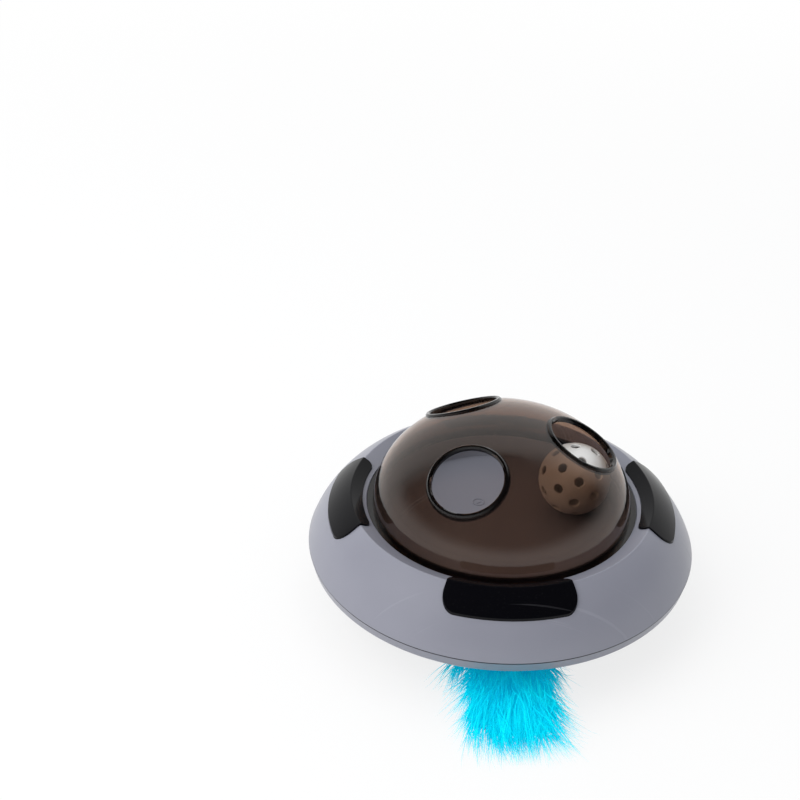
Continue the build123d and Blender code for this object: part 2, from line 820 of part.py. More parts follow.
# Power switch: its case over the slot in the tub floor, and the knob that slides in the slot
knob_slot_length = knob_length + switch_travel + 2 * slide_gap
knob_x = switch_x - switch_travel / 2
knob_underside = tub_underside + switch_recess_depth - knob_standing
with BuildPart() as switch_case:
    with BuildSketch(Plane.XY.offset(tub_floor_top)):
        with Locations((switch_x, switch_y)):
            Rectangle(switch_case_length, switch_case_width)
    extrude(amount=switch_case_height)
    with BuildSketch(Plane.XY.offset(tub_floor_top)):
        with Locations((switch_x, switch_y)):
            Rectangle(knob_slot_length, knob_width + 2 * slide_gap)
    extrude(amount=knob_inside + running_gap, mode=Mode.SUBTRACT)
keep("switch_case", switch_case)

with BuildPart() as switch_knob:
    with BuildSketch(Plane.XY.offset(knob_underside)):
        with Locations((knob_x, switch_y)):
            Rectangle(knob_length, knob_width)
    extrude(amount=tub_floor_top + knob_inside - knob_underside)
    chamfer(switch_knob.faces().sort_by(Axis.Z)[0].edges(), knob_bevel)
keep("switch_knob", switch_knob)

# Base deck: it closes the tub, carries the rail under the ring and the column up to the saucer
base_boss_top = tub_floor_top + base_boss_height
pin_foot = tub_top + deck_thickness / 2
with BuildPart() as base_deck:
    with BuildSketch(Plane.XY.offset(tub_top)):
        Circle(tub_top_radius)
        Circle(column_bore_radius, mode=Mode.SUBTRACT)
    extrude(amount=deck_thickness)
    with BuildSketch(Plane.XY.offset(deck_top)):
        Circle(rail_radius)
        Circle(rail_radius - rail_width, mode=Mode.SUBTRACT)
    extrude(amount=rail_height)
    with BuildSketch(Plane.XY.offset(deck_top)):
        Circle(column_radius)
        with PolarLocations(column_boss_circle_radius, column_boss_count, start_angle=90):
            Circle(column_boss_radius)
        Circle(column_bore_radius, mode=Mode.SUBTRACT)
    extrude(amount=belly_height - deck_top)
    with BuildSketch(Plane.XY.offset(deck_top)):
        with Locations(gear_place):
            Circle(pin_boss_radius)
    extrude(amount=pin_boss_height)
    with BuildSketch(Plane.XY.offset(base_boss_top)):
        with Locations(*base_boss_places):
            Circle(base_boss_radius)
    extrude(amount=tub_top - base_boss_top)
    with BuildSketch(Plane.XY.offset(base_boss_top)):
        with Locations(*base_boss_places):
            Circle(screw_shank_radius + screw_gap)
    extrude(amount=tub_top - base_boss_top + deck_thickness / 2, mode=Mode.SUBTRACT)
    with BuildSketch(Plane.XY.offset(belly_height)):
        with PolarLocations(column_boss_circle_radius, column_boss_count, start_angle=90):
            Circle(screw_shank_radius + screw_gap)
    extrude(amount=-(belly_height - deck_top), mode=Mode.SUBTRACT)
    with BuildSketch(Plane.XY.offset(pin_foot)):
        with Locations(gear_place):
            Circle(gear_pin_radius + shaft_gap)
    extrude(amount=deck_thickness + pin_boss_height, mode=Mode.SUBTRACT)
keep("base_deck", base_deck)

# Feather ring: inner teeth on a rim, a flat web over the deck, a skirt outside the tub and the holder
ring_pitch_radius = ring_module * ring_teeth / 2
ring_rim_radius = ring_pitch_radius + ring_module * tooth_foot_share + ring_rim_width
skirt_inner_radius = tub_top_radius + ring_skirt_gap
skirt_outer_radius = skirt_inner_radius + ring_skirt_wall
web_top = ring_underside + ring_web
skirt_underside = ring_underside - ring_skirt_drop
droop = radians(feather_droop)
holder_way = Vector(
    cos(droop) * cos(radians(feather_azimuth)),
    cos(droop) * sin(radians(feather_azimuth)),
    -sin(droop),
)


def holder_plane(reach):
    """A plane square to the quill, at a reach along it from the skirt's outer face."""
    start = Vector(*polar(skirt_outer_radius, feather_azimuth), holder_height)
    return Plane(origin=start + holder_way * reach, z_dir=holder_way)


with BuildPart() as feather_ring:
    with BuildSketch(Plane.XY.offset(ring_underside)):
        Circle(ring_rim_radius)
        with BuildLine():
            Polyline(*gear_points(ring_teeth, ring_module, -90 + 180 / ring_teeth, True), close=True)
        make_face(mode=Mode.SUBTRACT)
    extrude(amount=ring_rim_height)
    with BuildSketch(Plane.XZ):
        with BuildLine():
            Polyline(
                (ring_rim_radius - ring_rim_width / 2, ring_underside),
                (skirt_inner_radius, ring_underside),
                (skirt_inner_radius, skirt_underside),
                (skirt_outer_radius, skirt_underside),
                (skirt_outer_radius, web_top),
                (ring_rim_radius - ring_rim_width / 2, web_top),
                close=True,
            )
        make_face()
    revolve(axis=Axis.Z)
    with BuildSketch(holder_plane(-ring_skirt_wall / 2)):
        Circle(holder_radius)
    extrude(amount=holder_length + ring_skirt_wall / 2)
    with BuildSketch(holder_plane(holder_length)):
        Circle(plug_radius + quill_gap)
    extrude(amount=-plug_inside - quill_gap, mode=Mode.SUBTRACT)
keep("feather_ring", feather_ring)

# Feather plug: a headed cap pressed in the holder, bored for the quill
plug_head_underside = holder_length + quill_gap
with BuildPart() as feather_plug:
    with BuildSketch(holder_plane(plug_head_underside)):
        Circle(plug_head_radius)
    extrude(amount=plug_head_length)
    with BuildSketch(holder_plane(plug_head_underside)):
        Circle(plug_radius)
    extrude(amount=-plug_inside)
    with BuildSketch(holder_plane(plug_head_underside + plug_head_length)):
        Circle(quill_radius + quill_gap)
    extrude(amount=-plug_head_length - plug_inside / 2, mode=Mode.SUBTRACT)
keep("feather_plug", feather_plug)

quill_start = plug_head_underside - plug_inside / 2 + quill_gap
with BuildPart() as feather_quill:
    with BuildSketch(holder_plane(quill_start)):
        Circle(quill_radius)
    extrude(amount=quill_length)
keep("feather_quill", feather_quill)

# Feather plume: a soft leaf of down, flat underneath, lofted along its length and bored for the quill
plume_way = polar(1, feather_azimuth)
plume_start = skirt_outer_radius + plume_start_gap
plume_length = saucer_radius + plume_reach - plume_start
with BuildPart() as feather_plume:
    for along_share, width_share, height_share in plume_shares:
        reach = plume_start + plume_length * along_share
        half_height = plume_height * height_share / 2
        section = Plane(
            origin=(plume_way[0] * reach, plume_way[1] * reach, plume_underside + half_height),
            x_dir=(-plume_way[1], plume_way[0], 0),
            z_dir=(plume_way[0], plume_way[1], 0),
        )
        with BuildSketch(section):
            Ellipse(plume_half_width * width_share, half_height)
    loft(ruled=True)
    with BuildSketch(holder_plane(quill_start)):
        Circle(quill_radius + quill_gap)
    extrude(amount=quill_length + quill_gap, mode=Mode.SUBTRACT)
keep("feather_plume", feather_plume)

# Double gear: the wheel above the saucer floor and the small pinion in the ring, turning on a steel pin
pinion_underside = deck_top + pin_boss_height + running_gap
pinion_top = ring_underside + ring_rim_height
with BuildPart() as reduction_gear:
    with BuildSketch(Plane(origin=(*gear_place, pinion_underside))):
        with BuildLine():
            Polyline(*gear_points(ring_pinion_teeth, ring_module, -90, False), close=True)
        make_face()
    extrude(amount=pinion_top - pinion_underside)
    with BuildSketch(Plane(origin=(*gear_place, pinion_top))):
        Circle(hub_radius)
    extrude(amount=wheel_underside - pinion_top)
    with BuildSketch(Plane(origin=(*gear_place, wheel_underside))):
        with BuildLine():
            Polyline(*gear_points(wheel_teeth, wheel_module, 90, False), close=True)
        make_face()
    extrude(amount=wheel_height)
    with BuildSketch(Plane(origin=(*gear_place, pinion_underside))):
        Circle(gear_pin_radius + shaft_gap)
    extrude(amount=cover_top - pinion_underside, mode=Mode.SUBTRACT)
keep("reduction_gear", reduction_gear)

with BuildPart() as gear_pin:
    with BuildSketch(Plane.XY.offset(pin_foot)):
        with Locations(gear_place):
            Circle(gear_pin_radius)
    extrude(amount=cover_top - pin_foot)
keep("gear_pin", gear_pin)

# Gear plate: the steel plate that the motor hangs from, over the middle of the lower shell
with BuildPart() as gear_plate:
    with BuildSketch(Plane.XY.offset(belly_top)) as plate_outline:
        Circle(gear_plate_radius)
        with Locations(gear_place):
            Circle(gear_lobe_radius)
        make_hull()
        with Locations(gear_place):
            Circle(hub_hole_radius, mode=Mode.SUBTRACT)
        with Locations(motor_place):
            Circle(motor_boss_radius + shaft_gap, mode=Mode.SUBTRACT)
            with GridLocations(2 * motor_screw_offset, 0, 2, 1):
                Circle(motor_screw_shank_radius + screw_gap, mode=Mode.SUBTRACT)
        with PolarLocations(column_boss_circle_radius, column_boss_count, start_angle=90):
            Circle(screw_shank_radius + screw_gap, mode=Mode.SUBTRACT)
    extrude(amount=gear_plate_thickness)
keep("gear_plate", gear_plate)

# Gear cover: a bridge over the gears that steadies the pin's top, on three posts
cover_side_posts = [(side * gear_cover_side_post, -ring_pinion_distance) for side in (-1, 1)]
cover_back_post = (0, gear_cover_back_post)
with BuildPart() as gear_cover:
    with BuildSketch(Plane.XY.offset(cover_underside)):
        with Locations(*cover_side_posts, cover_back_post):
            Circle(gear_cover_lobe_radius)
        make_hull()
        with Locations(gear_place):
            Circle(gear_pin_radius + shaft_gap, mode=Mode.SUBTRACT)
    extrude(amount=gear_cover_thickness)
    with BuildSketch(Plane.XY.offset(belly_top)):
        with Locations(*cover_side_posts):
            Circle(gear_cover_post_radius)
    extrude(amount=cover_underside - belly_top)
    with BuildSketch(Plane.XY.offset(gear_plate_top)):
        with Locations(cover_back_post):
            Circle(gear_cover_post_radius)
    extrude(amount=cover_underside - gear_plate_top)
keep("gear_cover", gear_cover)

# Motor: a flat-sided can with a raised bearing boss, and its shaft with the pinion pressed on
motor_pinion_top = wheel_underside + motor_pinion_height - (motor_pinion_height - wheel_height) / 2
motor_pinion_underside = wheel_underside - (motor_pinion_height - wheel_height) / 2
shaft_foot = belly_top - motor_shaft_inside
shaft_top = motor_pinion_top + motor_shaft_over
with BuildPart() as motor_can:
    with BuildSketch(Plane.XY.offset(motor_underside)):
        with Locations(motor_place):
            Circle(motor_radius)
            Rectangle(2 * motor_radius, 2 * motor_half_flat, mode=Mode.INTERSECT)
    extrude(amount=motor_length)
    with BuildSketch(Plane.XY.offset(belly_top)):
        with Locations(motor_place):
            Circle(motor_boss_radius)
    extrude(amount=gear_plate_thickness)
    with BuildSketch(Plane.XY.offset(shaft_foot - running_gap)):
        with Locations(motor_place):
            Circle(motor_shaft_radius + shaft_gap)
    extrude(amount=motor_length, mode=Mode.SUBTRACT)
    with BuildSketch(Plane.XY.offset(belly_top)):
        with Locations(motor_place):
            with GridLocations(2 * motor_screw_offset, 0, 2, 1):
                Circle(motor_screw_shank_radius + screw_gap)
    extrude(amount=-motor_screw_length, mode=Mode.SUBTRACT)
keep("motor_can", motor_can)

with BuildPart() as motor_shaft:
    with BuildSketch(Plane.XY.offset(shaft_foot)):
        with Locations(motor_place):
            Circle(motor_shaft_radius)
    extrude(amount=shaft_top - shaft_foot)
keep("motor_shaft", motor_shaft)

with BuildPart() as motor_pinion:
    with BuildSketch(Plane(origin=(*motor_place, motor_pinion_underside))):
        with BuildLine():
            Polyline(
                *gear_points(motor_pinion_teeth, wheel_module, -90 + 180 / motor_pinion_teeth, False),
                close=True,
            )
        make_face()
        Circle(motor_shaft_radius, mode=Mode.SUBTRACT)
    extrude(amount=motor_pinion_top - motor_pinion_underside)
keep("motor_pinion", motor_pinion)

# Circuit board on its two posts, with a timer chip and a capacitor
board_underside = belly_top + board_post_height
board_top = board_underside + board_thickness
with BuildPart() as circuit_board:
    with BuildSketch(Plane.XY.offset(board_underside)):
        with Locations(board_place):
            Rectangle(board_length, board_width)
            with GridLocations(board_length - 2 * board_post_inset, 0, 2, 1):
                Circle(board_pin_radius + screw_gap, mode=Mode.SUBTRACT)
    extrude(amount=board_thickness)
    with BuildSketch(Plane.XY.offset(board_top)):
        with Locations((board_place[0], -board_width / 4)):
            Rectangle(chip_length, chip_width)
    extrude(amount=chip_height)
    with BuildSketch(Plane.XY.offset(board_top)):
        with Locations((board_place[0], board_width / 4)):
            Circle(capacitor_radius)
    extrude(amount=capacitor_height)
keep("circuit_board", circuit_board)


def screws(name, places, head_face, way, head_radius, head_height, shank_radius, length):
    """A group of like screws: heads on one side of a face, shanks on the other."""
    with BuildPart() as group:
        with BuildSketch(Plane.XY.offset(head_face)):
            with Locations(*places):
                Circle(head_radius)
        extrude(amount=way * head_height)
        with BuildSketch(Plane.XY.offset(head_face)):
            with Locations(*places):
                Circle(shank_radius)
        extrude(amount=-way * length)
    keep(name, group)


def ring_places(radius, count, first):
    """Places spaced evenly round the axis."""
    return [polar(radius, first + 360 * place / count) for place in range(count)]


# Screws: into the shell's posts, the tray's posts, the column, the deck and the motor
case_screw = (screw_head_radius, screw_head_height, screw_shank_radius)
screws(
    "shell_screws",
    ring_places(boss_circle_radius, shell_boss_count, shell_post_angle),
    screw_seat,
    -1,
    *case_screw,
    screw_length,
)
screws(
    "tray_screws",
    ring_places(tray_boss_circle_radius, tray_boss_count, 180 / tray_boss_count),
    screw_seat,
    -1,
    *case_screw,
    screw_length,
)
screws(
    "column_screws",
    ring_places(column_boss_circle_radius, column_boss_count, 90),
    gear_plate_top,
    1,
    *case_screw,
    gear_plate_top - deck_top - running_gap,
)
screws(
    "base_screws",
    base_boss_places,
    tub_underside + base_screw_recess,
    -1,
    *case_screw,
    tub_top - tub_underside - base_screw_recess,
)
screws(
    "motor_screws",
    [(-motor_screw_offset, -motor_distance), (motor_screw_offset, -motor_distance)],
    gear_plate_top,
    1,
    motor_screw_head_radius,
    motor_screw_head_height,
    motor_screw_shank_radius,
    motor_screw_length,
)

os.makedirs("parts", exist_ok=True)
for name, piece in parts.items():
    export_step(piece, "parts/" + name + ".step")
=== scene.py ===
# %% [markdown]
# A cat turntable toy: a saucer-shaped shell with a smoked dome over a ball, and a feather that a motor
# sweeps round underneath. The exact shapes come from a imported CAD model, which this script loads as a
# fixed frame. Blender then adds what CAD can't: the finishes, the rounded holes of the ball, the down of
# the feather, and the light. The same could be modelled by eye from scratch, but starting from the frame
# keeps every size true and every moving piece on its joint.

# %% Load the frame
from math import cos, pi, radians, sin, sqrt
from random import Random

import bpy
from mathutils import Matrix, Vector


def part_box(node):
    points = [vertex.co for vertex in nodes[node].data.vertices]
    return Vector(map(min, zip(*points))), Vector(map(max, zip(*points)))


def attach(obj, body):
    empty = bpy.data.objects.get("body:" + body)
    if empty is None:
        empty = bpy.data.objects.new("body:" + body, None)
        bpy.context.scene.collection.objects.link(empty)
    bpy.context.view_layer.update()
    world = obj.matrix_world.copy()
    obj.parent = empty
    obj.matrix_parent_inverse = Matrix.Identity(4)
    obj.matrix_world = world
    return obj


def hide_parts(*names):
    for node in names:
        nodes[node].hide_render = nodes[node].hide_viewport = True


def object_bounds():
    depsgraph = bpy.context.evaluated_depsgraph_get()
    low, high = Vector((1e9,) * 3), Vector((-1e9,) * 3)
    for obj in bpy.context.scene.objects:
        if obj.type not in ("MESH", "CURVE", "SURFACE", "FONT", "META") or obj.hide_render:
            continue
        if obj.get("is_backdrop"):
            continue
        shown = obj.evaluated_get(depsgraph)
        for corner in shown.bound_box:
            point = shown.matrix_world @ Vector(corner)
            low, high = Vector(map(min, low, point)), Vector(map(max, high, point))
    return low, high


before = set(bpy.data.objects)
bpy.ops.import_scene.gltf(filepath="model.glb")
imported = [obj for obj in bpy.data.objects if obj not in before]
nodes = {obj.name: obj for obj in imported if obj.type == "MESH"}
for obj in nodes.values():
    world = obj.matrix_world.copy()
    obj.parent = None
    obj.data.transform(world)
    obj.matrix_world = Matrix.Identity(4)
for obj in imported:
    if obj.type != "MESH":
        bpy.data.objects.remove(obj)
cad_box = [list(corner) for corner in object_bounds()]
shell_low, shell_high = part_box("upper_shell")
axis_place = Vector(((shell_low.x + shell_high.x) / 2, (shell_low.y + shell_high.y) / 2, 0))

# %% [markdown]
# The camera stands where the photograph was taken from. Its place, its tilt and its focal length were
# worked out from the ellipses that the round edges make in the picture, and are written here as numbers.
# A camera could instead be turned by hand until the outline fits, but a worked-out one lets every other
# difference be put down to shape or finish.

# %% Camera
MM = 0.001
camera_data = bpy.data.cameras.new("camera")
camera_data.sensor_width = 36
camera_data.lens = 62.69
camera = bpy.data.objects.new("camera", camera_data)
bpy.context.scene.collection.objects.link(camera)
camera_right = Vector((0.99992, 0.00846, 0.00962)).normalized()
camera_back = Vector((0.00216, -0.85177, 0.52391)).normalized()
camera_up = camera_back.cross(camera_right)
camera_place = axis_place + Vector((-64.3, -735.1, 594.7)) * MM
camera_turn = Matrix((camera_right, camera_up, camera_back)).transposed().to_4x4()
camera.matrix_world = Matrix.Translation(camera_place) @ camera_turn
bpy.context.scene.camera = camera
print("camera distance from the foot of the axis:", round((camera_place - axis_place).length, 3), "m")

# %% [markdown]
# Every finish below is a small tree of shader nodes. Wiring them one by one hides the idea behind the
# plumbing, so helpers come first: a value that can be added and multiplied as in ordinary maths, a tree
# that makes any node in one call, and a finish, which is such a tree with a material of its own.
# Ready-made image textures would be quicker, but they show their seams up close, and these patterns don't.


# %% Helpers for finishes
class Value:
    """A number that varies over a surface. Plain maths on it adds Math nodes."""

    def __init__(self, owner, socket):
        self.owner = owner
        self.socket = socket

    def maths(self, operation, *terms):
        return self.owner.node("ShaderNodeMath", {"operation": operation}, dict(enumerate(terms)))

    def __add__(self, other):
        return self.maths("ADD", self, other)

    def __sub__(self, other):
        return self.maths("SUBTRACT", self, other)

    def __rsub__(self, other):
        return self.maths("SUBTRACT", other, self)

    def __mul__(self, other):
        return self.maths("MULTIPLY", self, other)

    def __abs__(self):
        return self.maths("ABSOLUTE", self)

    __radd__ = __add__
    __rmul__ = __mul__


class ShaderTree:
    """The shader nodes of a material or of the world, and short ways to add to them."""

    def __init__(self, tree, output):
        self.tree = tree
        self.output = tree.nodes[output]

    def put(self, socket, value):
        if isinstance(value, Value):
            self.tree.links.new(value.socket, socket)
        elif hasattr(value, "__len__") and len(value) == 3 and socket.type == "RGBA":
            socket.default_value = (*value, 1)
        else:
            socket.default_value = value

    def node(self, kind, settings=None, values=None, result=0):
        """Make a node, give it its settings, then its values or links; its result comes back."""
        made = self.tree.nodes.new(kind)
        for key, value in (settings or {}).items():
            setattr(made, key, value)
        for key, value in (values or {}).items():
            self.put(made.inputs[key], value)
        return Value(self, made.outputs[result])

    def place(self):
        return self.node("ShaderNodeTexCoord", result="Object")

    def along(self, axis, vector):
        """How far a place or a direction lies along X, Y or Z."""
        return self.node("ShaderNodeSeparateXYZ", values={0: vector}, result=axis)

    def length(self, vector):
        return self.node("ShaderNodeVectorMath", {"operation": "LENGTH"}, {0: vector}, "Value")

    def stretched(self, amounts, turn=(0, 0, 0)):
        return self.node(
            "ShaderNodeMapping", values={"Vector": self.place(), "Scale": amounts, "Rotation": turn}
        )

    def noise(self, scale, detail=2.0, where=None):
        """Soft random patches, from 0 to 1, so many to the metre."""
        return self.node(
            "ShaderNodeTexNoise", values={"Vector": where or self.place(), "Scale": scale, "Detail": detail}
        )

    def between(self, value, low, high):
        """0 below low, 1 above high, and smooth between."""
        return self.node(
            "ShaderNodeMapRange",
            {"interpolation_type": "SMOOTHSTEP"},
            {"Value": value, "From Min": low, "From Max": high},
        )

    def mix(self, factor, first, second):
        """A colour between two colours."""
        return self.node("ShaderNodeMix", {"data_type": "RGBA"}, {0: factor, 6: first, 7: second}, 2)

    def mix_shaders(self, factor, first, second):
        return self.node("ShaderNodeMixShader", values={0: factor, 1: first, 2: second})

    def ray(self, kind):
        """1 for rays of one kind, 0 for all others."""
        return self.node("ShaderNodeLightPath", result=f"Is {kind} Ray")

    def in_view(self):
        """1 for what the camera sees, also in mirrors and through glass, 0 for what lights the toy."""
        return 1 - (1 - self.ray("Camera")) * (1 - self.ray("Glossy")) * (1 - self.ray("Transmission"))

    def show(self, shader):
        self.put(self.output.inputs["Surface"], shader)


class Finish(ShaderTree):
    """One material, with the Principled shader that its nodes feed."""

    def __init__(self, name, **constants):
        self.material = bpy.data.materials.new(name)
        self.material.use_nodes = True
        super().__init__(self.material.node_tree, "Material Output")
        self.principled = self.tree.nodes["Principled BSDF"]
        self.shader = Value(self, self.principled.outputs[0])
        self.feed(**constants)

    def feed(self, **values):
        for key, value in values.items():
            self.put(self.principled.inputs[key.replace("_", " ")], value)

    def bump(self, height, strength, distance):
        made = self.node(
            "ShaderNodeBump", values={"Height": height, "Strength": strength, "Distance": distance}
        )
        self.feed(Normal=made)


def dress(finish, *names):
    """Give a finish to CAD nodes."""
    for name in names:
        node = nodes[name]
        node.data.materials.clear()
        node.data.materials.append(finish.material)


print("helpers ready:", "Value, ShaderTree, Finish and dress")


# %% [markdown]
# The saucer is moulded in a lavender-grey plastic with a satin shine. Under a close look such plastic
# is never one even colour: the surface carries a very fine texture, faint flow patches, and here and
# there a hair scratch from handling. Each of these is a layer of noise, and the scratches are noise
# pulled out long and thin so that only its peaks show. The narrow groove where the two halves meet is
# painted nearly black: painted shade, with some dust, in the groove.


# %% Saucer plastic
def scratches(finish, turn, length=6, across=420, rarity=0.71):
    """Hair scratches that run one way."""
    field = finish.noise(1.0, 1.0, finish.stretched((length, across, length), turn))
    patch = finish.noise(14, 1.0)
    return finish.between(field, rarity, rarity + 0.03) * finish.between(patch, 0.5, 0.62)


def moulded_plastic(name, colour, roughness, grain, parting=None):
    finish = Finish(name, IOR=1.5)
    flow = finish.noise(22, 3.0)
    specks = finish.noise(2600, 1.0)
    scuffs = scratches(finish, (0, 0, 0.5)) + scratches(finish, (0.3, 0, 2.1), 8, 520)
    pale = [min(1, 1.16 * part + 0.02) for part in colour]
    dark = [0.94 * part for part in colour]
    tone = finish.mix(flow, dark, [1.05 * part for part in colour])
    paint = finish.mix(scuffs * 0.35, tone, pale)
    # The parting groove is darkened nearly black: painted shade, with some dust.
    if parting is not None:
        off_line = abs(finish.along("Z", finish.place()) - parting)
        groove_shade_and_dust = 1 - finish.between(off_line, groove_dark, groove_faded)
        paint = finish.mix(groove_shade_and_dust, paint, [0.12 * part for part in colour])
    finish.feed(Base_Color=paint, Roughness=roughness + (flow - 0.5) * 0.08 + scuffs * 0.2)
    finish.bump(specks + scuffs * 1.5, grain, 0.04 * MM)
    return finish


groove_height, groove_dark, groove_faded = 39.75 * MM, 0.35 * MM, 0.6 * MM
shell_grey, base_grey = (0.233, 0.237, 0.282), (0.2, 0.202, 0.242)
shell_plastic = moulded_plastic("shell_plastic", shell_grey, 0.3, 0.35, parting=groove_height)
dress(shell_plastic, "upper_shell", "lower_shell", "play_tray")
base_plastic = moulded_plastic("base_plastic", base_grey, 0.46, 0.9)
dress(base_plastic, "base_tub", "base_deck", "battery_door", "feather_ring")
print("moulded plastic on the shells, the tray, the base and the feather's ring")

# %% [markdown]
# The four pads, the switch and the feather's plug are polished black plastic. Polished black shows
# almost nothing but what it mirrors, so its colour is close to zero and its roughness low, and what
# makes it look real is a little dust, the odd hairline and the orange-peel waviness that moulding leaves.

# %% Polished black
black_gloss = Finish("black_gloss", IOR=1.22)
dust = black_gloss.between(black_gloss.noise(1500, 2.0), 0.68, 0.76)
hairs = scratches(black_gloss, (0, 0, 1.1), 9, 700, 0.7)
black_gloss.feed(
    Base_Color=black_gloss.mix(dust * 0.5 + hairs * 0.4, (0.002, 0.002, 0.003), (0.03, 0.03, 0.034)),
    Roughness=0.09 + dust * 0.25 + hairs * 0.2 + black_gloss.noise(30, 2.0) * 0.05,
)
black_gloss.bump(black_gloss.noise(160, 1.0), 0.06, 0.2 * MM)
dress(black_gloss, "trim_pad_right", "trim_pad_back", "trim_pad_left", "trim_pad_front")
dress(black_gloss, "switch_knob", "feather_plug")
print("polished black on the pads, the switch and the feather's plug")

# %% [markdown]
# The dome is clear plastic dyed a smoky brown. Light that passes the wall loses most of its blue, so the
# tint is set for one pass through the wall. A renderer normally treats glass as solid to lamps, which
# would leave the tray in the dark, so for shadow rays alone the wall turns into a plain filter. That
# filter is paler than the smoke, because in the photograph the tray is nearly as bright as the shell,
# and as a ray crosses both faces of the wall, each face gets its square root. The lips of the three
# holes and the foot of the dome are thick, so there the smoke turns almost black.

# %% Smoked clear plastic
smoke = (0.285, 0.175, 0.12)
smoked_clear = Finish("smoked_clear", IOR=1.42, Transmission_Weight=1.0)
hairs = scratches(smoked_clear, (0, 0, 0.9), 7, 600, 0.69)
hairs = hairs + scratches(smoked_clear, (0.5, 0.2, 2.3), 9, 700, 0.7)
dome_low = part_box("dome")[0]
to_dome = nodes["dome"].matrix_world.inverted()
dome_place = smoked_clear.place()
above_foot = smoked_clear.along("Z", dome_place) - (to_dome @ dome_low).z
foot_dark, foot_faded = 3.2 * MM, 5.4 * MM
thick = 1 - smoked_clear.between(above_foot, foot_dark, foot_faded)
hole_lean, hole_out, hole_above_foot = radians(28.2), 50.5 * MM, 48.9 * MM
lip_reach, lip_faded = 25.6 * MM, 26.3 * MM
for turn in (0, 120, 240):
    outward = Vector((cos(radians(turn)), sin(radians(turn)), 0))
    hole_centre = axis_place + outward * hole_out + Vector((0, 0, dome_low.z + hole_above_foot))
    hole_axis = outward * sin(hole_lean) + Vector((0, 0, cos(hole_lean)))
    from_centre = smoked_clear.node(
        "ShaderNodeVectorMath", {"operation": "SUBTRACT"}, {0: dome_place, 1: to_dome @ hole_centre}
    )
    off_axis = smoked_clear.node(
        "ShaderNodeVectorMath",
        {"operation": "CROSS_PRODUCT"},
        {0: from_centre, 1: to_dome.to_3x3() @ hole_axis},
    )
    thick = thick + (1 - smoked_clear.between(smoked_clear.length(off_axis), lip_reach, lip_faded))
thin_colour = smoked_clear.mix(hairs * 0.3, smoke, (0.5, 0.42, 0.36))
smoked_clear.feed(
    Base_Color=smoked_clear.mix(thick, thin_colour, (0.014, 0.01, 0.009)),
    Roughness=0.02 + hairs * 0.25,
)
lamp_smoke = (0.95, 0.99, 1.0)
face_filter = [sqrt(part) for part in lamp_smoke]
clear_filter = smoked_clear.node("ShaderNodeBsdfTransparent", values={"Color": face_filter})
smoked_clear.show(
    smoked_clear.mix_shaders(smoked_clear.ray("Shadow"), smoked_clear.shader, clear_filter)
)
dress(smoked_clear, "dome")
print("smoked wall tints what is seen by", smoke, "and lamp light by", lamp_smoke)

# %% [markdown]
# Inside and underneath are the everyday materials of a small appliance: plated steel, brass, nylon
# gears, a green circuit board, rubber feet and the wrapped cells. They are seldom seen, but the toy can
# be opened, so each gets the grain of its own kind: brushing on steel, a mottled moulding on nylon,
# printed film on the cells.


# %% Metals, nylon, rubber, board and cells
def metal(name, colour, roughness, brushing):
    finish = Finish(name, Metallic=1.0)
    lines = finish.noise(1.0, 3.0, finish.stretched((60, 60, 2600)))
    tarnish = finish.noise(180, 3.0)
    finish.feed(
        Base_Color=finish.mix(tarnish, [0.82 * part for part in colour], colour),
        Roughness=roughness + (lines - 0.5) * brushing + (tarnish - 0.5) * 0.12,
    )
    finish.bump(lines, 0.12, 0.03 * MM)
    return finish


steel = metal("steel", (0.56, 0.56, 0.57), 0.32, 0.2)
brass = metal("brass", (0.74, 0.55, 0.24), 0.26, 0.12)
contact_metal = metal("contact_metal", (0.66, 0.65, 0.61), 0.24, 0.15)
dress(steel, "gear_plate", "gear_pin", "motor_can", "motor_shaft")
dress(steel, "shell_screws", "tray_screws", "column_screws", "base_screws", "motor_screws")
dress(brass, "motor_pinion")
dress(contact_metal, "battery_contacts_left", "battery_contacts_right", "switch_case")

gear_nylon = Finish("gear_nylon", IOR=1.53)
mottle = gear_nylon.noise(240, 3.0)
gear_nylon.feed(
    Base_Color=gear_nylon.mix(mottle, (0.68, 0.66, 0.6), (0.8, 0.79, 0.75)),
    Roughness=0.42 + (mottle - 0.5) * 0.14,
)
gear_nylon.bump(mottle, 0.1, 0.1 * MM)
dress(gear_nylon, "reduction_gear", "gear_cover")

foot_rubber = Finish("foot_rubber", IOR=1.45)
grain = foot_rubber.noise(1800, 2.0)
foot_rubber.feed(
    Base_Color=foot_rubber.mix(grain, (0.012, 0.012, 0.013), (0.03, 0.03, 0.032)),
    Roughness=0.75 + (grain - 0.5) * 0.2,
)
foot_rubber.bump(grain, 0.5, 0.1 * MM)
dress(foot_rubber, "rubber_feet")

board_resin = Finish("board_resin", IOR=1.5)
tracks = board_resin.node(
    "ShaderNodeTexBrick",
    {"offset": 0.5},
    {
        "Vector": board_resin.place(),
        "Scale": 260.0,
        "Mortar Size": 0.03,
        "Color1": (0, 0, 0),
        "Color2": (0, 0, 0),
        "Mortar": (1, 1, 1),
    },
)
board_resin.feed(
    Base_Color=board_resin.mix(tracks, (0.012, 0.1, 0.04), (0.03, 0.19, 0.08)),
    Roughness=0.3 + board_resin.noise(400) * 0.1,
)
dress(board_resin, "circuit_board")

cell_wrap = Finish("cell_wrap", IOR=1.5)
film = cell_wrap.noise(90, 2.0)
band_start, band_faded = 8 * MM, 8.2 * MM
band = cell_wrap.between(cell_wrap.along("X", cell_wrap.place()), band_start, band_faded)
cell_wrap.feed(
    Base_Color=cell_wrap.mix(band, (0.02, 0.022, 0.028), (0.42, 0.24, 0.08)),
    Roughness=0.22 + film * 0.08,
    Metallic=band * 0.6,
)
dress(cell_wrap, "battery_cell_1", "battery_cell_2", "battery_cell_3")
print("materials so far:", len(bpy.data.materials))

